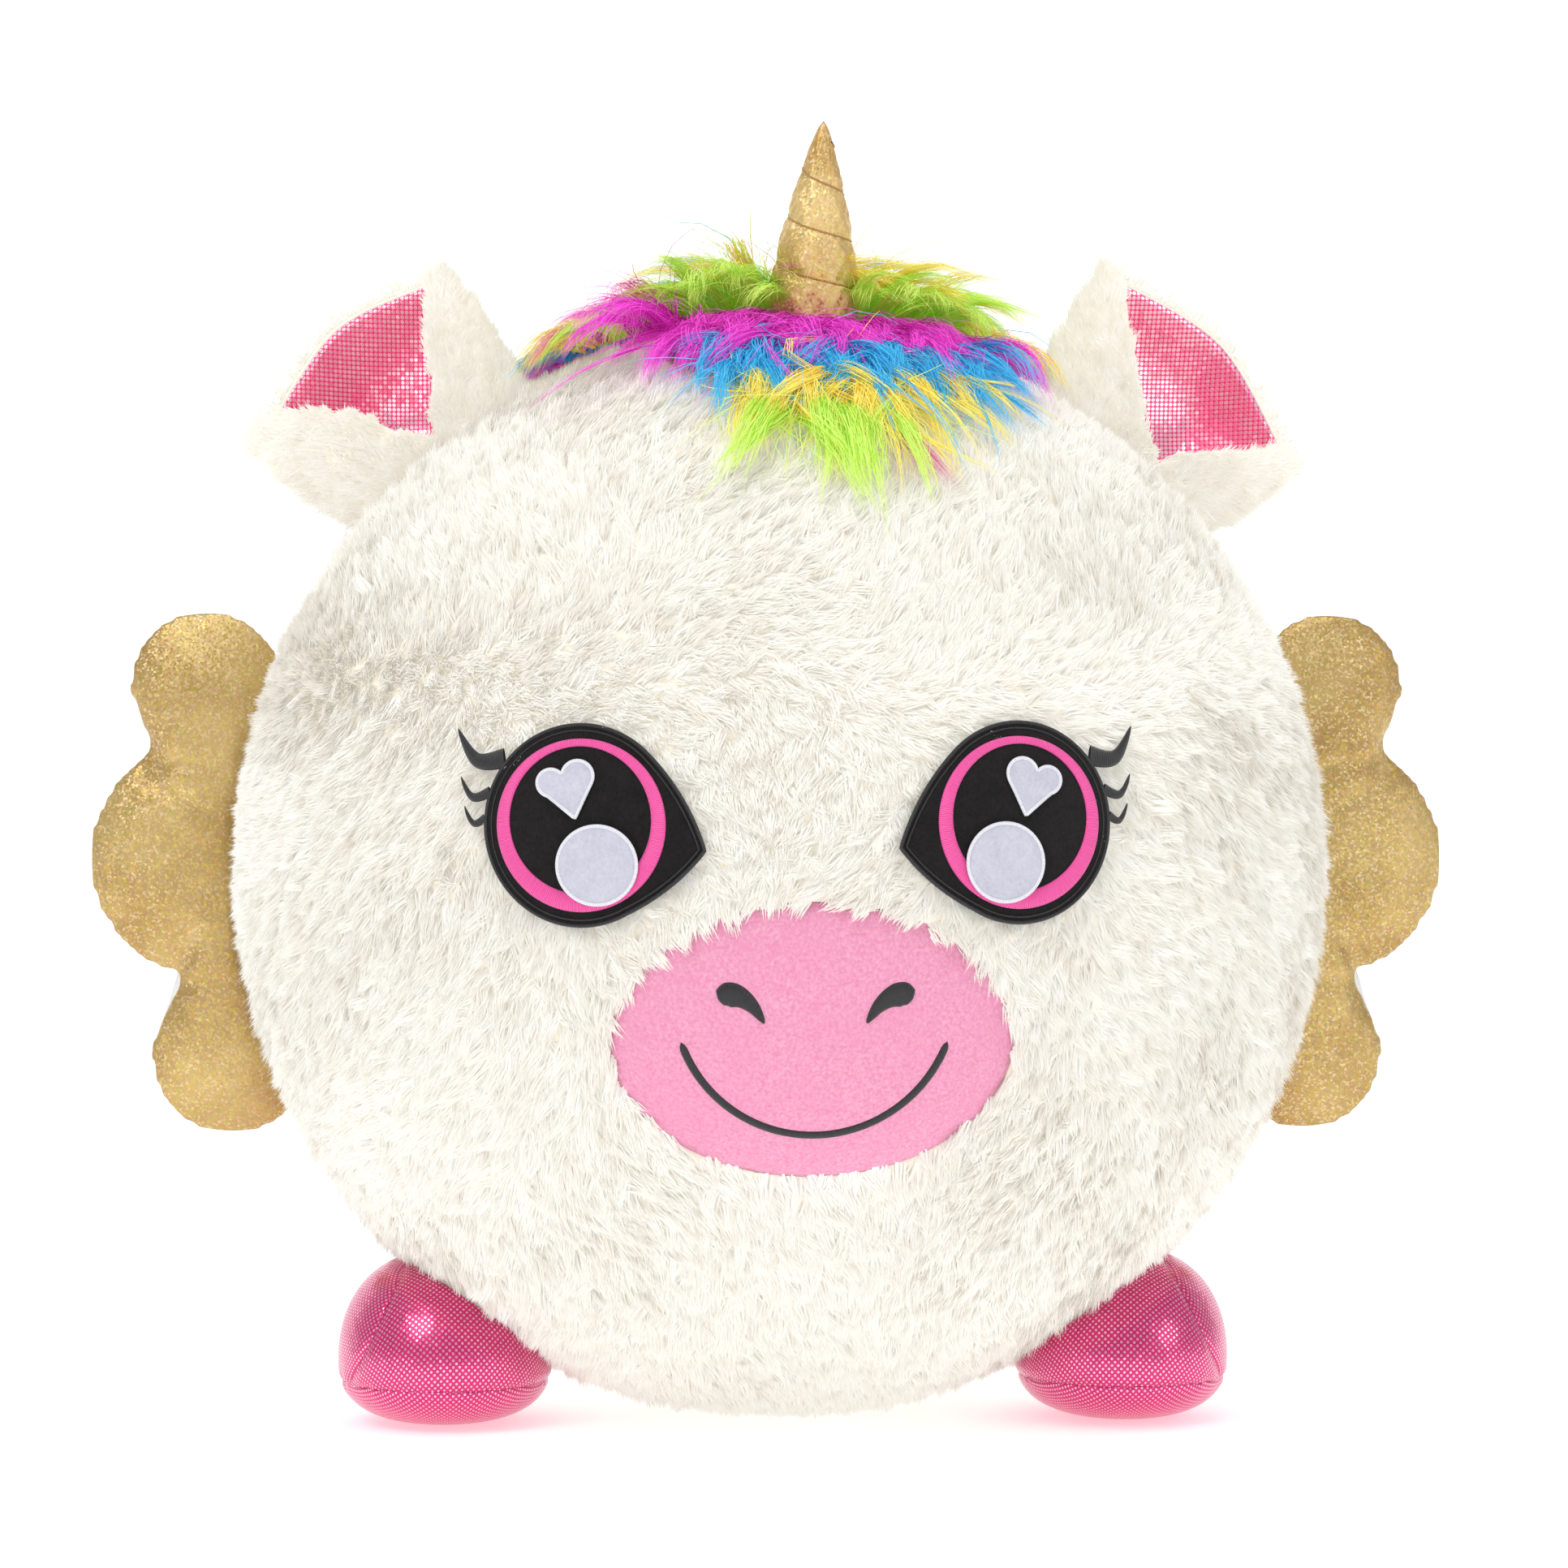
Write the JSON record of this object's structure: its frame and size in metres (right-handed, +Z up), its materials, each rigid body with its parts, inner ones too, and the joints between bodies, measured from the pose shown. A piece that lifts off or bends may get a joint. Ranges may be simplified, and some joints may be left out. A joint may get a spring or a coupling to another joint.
{
  "type": "plush unicorn",
  "caption": "Giant round stuffed unicorn with a flat rest patch under it and sewn-on horn, ears, wings, feet, tail and rainbow mane that bend at their seams.",
  "frame": {"origin": "on the floor under the middle of the ball, at the centre of the flat rest patch of the base panel", "axes": "+Z up, the face looks along -Y, +X towards the ear that is on the right when the face is seen from the front"},
  "size_m": [0.77, 0.6744, 0.6977],
  "materials": {
    "cream_fur": "matte",
    "polyester_fill": "matte",
    "pink_velour": "matte",
    "black_embroidery": "satin",
    "black_felt": "matte",
    "pink_satin_stitch": "satin",
    "grey_felt": "matte",
    "pink_foil_fabric": "gloss",
    "gold_glitter_fabric": "satin",
    "gold_thread": "satin",
    "rainbow_fur": "matte"
  },
  "bodies": {
    "torso": {"body_stuffing": "polyester_fill", "front_fur_panel": "cream_fur", "back_left_fur_panel": "cream_fur", "back_right_fur_panel": "cream_fur", "base_fur_panel": "cream_fur", "muzzle_panel": "pink_velour", "left_nostril": "black_embroidery", "right_nostril": "black_embroidery", "smile_stitch": "black_embroidery", "left_eye_felt": "black_felt", "left_iris_ring": "pink_satin_stitch", "left_heart_glint": "grey_felt", "left_round_glint": "grey_felt", "left_eyelashes": "black_embroidery", "right_eye_felt": "black_felt", "right_iris_ring": "pink_satin_stitch", "right_heart_glint": "grey_felt", "right_round_glint": "grey_felt", "right_eyelashes": "black_embroidery", "front_mane_panel": "rainbow_fur", "back_mane_panel": "rainbow_fur"},
    "horn": {"horn_cover": "gold_glitter_fabric", "horn_stuffing": "polyester_fill", "horn_spiral_thread": "gold_thread"},
    "tail": {"tail": "rainbow_fur"},
    "left_ear": {"left_ear_shell": "cream_fur", "left_ear_lining": "pink_foil_fabric"},
    "left_wing": {"left_wing_front": "gold_glitter_fabric", "left_wing_back": "gold_glitter_fabric", "left_wing_batting": "polyester_fill"},
    "left_foot": {"left_foot_stuffing": "polyester_fill", "left_foot_upper": "pink_foil_fabric", "left_foot_side": "pink_foil_fabric", "left_foot_sole": "pink_foil_fabric"},
    "right_ear": {"right_ear_shell": "cream_fur", "right_ear_lining": "pink_foil_fabric"},
    "right_wing": {"right_wing_front": "gold_glitter_fabric", "right_wing_back": "gold_glitter_fabric", "right_wing_batting": "polyester_fill"},
    "right_foot": {"right_foot_stuffing": "polyester_fill", "right_foot_upper": "pink_foil_fabric", "right_foot_side": "pink_foil_fabric", "right_foot_sole": "pink_foil_fabric"}
  },
  "joints": [
    {"name": "right_ear_bend", "type": "hinge", "parent": "torso", "child": "right_ear", "pos_m": [0.19412, 0, 0.52834], "axis": [0.766, 0, -0.6428], "range_deg": [-20, 20], "stiffness_Nm_per_rad": 0.06},
    {"name": "left_ear_bend", "type": "hinge", "parent": "torso", "child": "left_ear", "pos_m": [-0.19412, 0, 0.52834], "axis": [0.766, 0, 0.6428], "range_deg": [-20, 20], "stiffness_Nm_per_rad": 0.06},
    {"name": "right_wing_flap", "type": "hinge", "parent": "torso", "child": "right_wing", "pos_m": [0.303, 0.08, 0.297], "axis": [0, 0, 1], "range_deg": [-30, 45], "stiffness_Nm_per_rad": 0.12},
    {"name": "left_wing_flap", "type": "hinge", "parent": "torso", "child": "left_wing", "pos_m": [-0.303, 0.08, 0.297], "axis": [0, 0, -1], "range_deg": [-30, 45], "stiffness_Nm_per_rad": 0.12},
    {"name": "horn_bend", "type": "hinge", "parent": "torso", "child": "horn", "pos_m": [0.01394, -0.05485, 0.59263], "axis": [0.9989, 0, -0.0471], "range_deg": [-15, 15], "stiffness_Nm_per_rad": 0.1},
    {"name": "right_foot_bend", "type": "hinge", "parent": "torso", "child": "right_foot", "pos_m": [0.17572, -0.03841, 0.05503], "axis": [0.2135, 0.9769, 0], "range_deg": [-8, 8], "stiffness_Nm_per_rad": 0.3},
    {"name": "left_foot_bend", "type": "hinge", "parent": "torso", "child": "left_foot", "pos_m": [-0.17572, -0.03841, 0.05503], "axis": [0.2135, -0.9769, 0], "range_deg": [-8, 8], "stiffness_Nm_per_rad": 0.3},
    {"name": "tail_lift", "type": "hinge", "parent": "torso", "child": "tail", "pos_m": [0, 0.28849, 0.192], "axis": [1, 0, 0], "range_deg": [-15, 60], "stiffness_Nm_per_rad": 0.04}
  ]
}
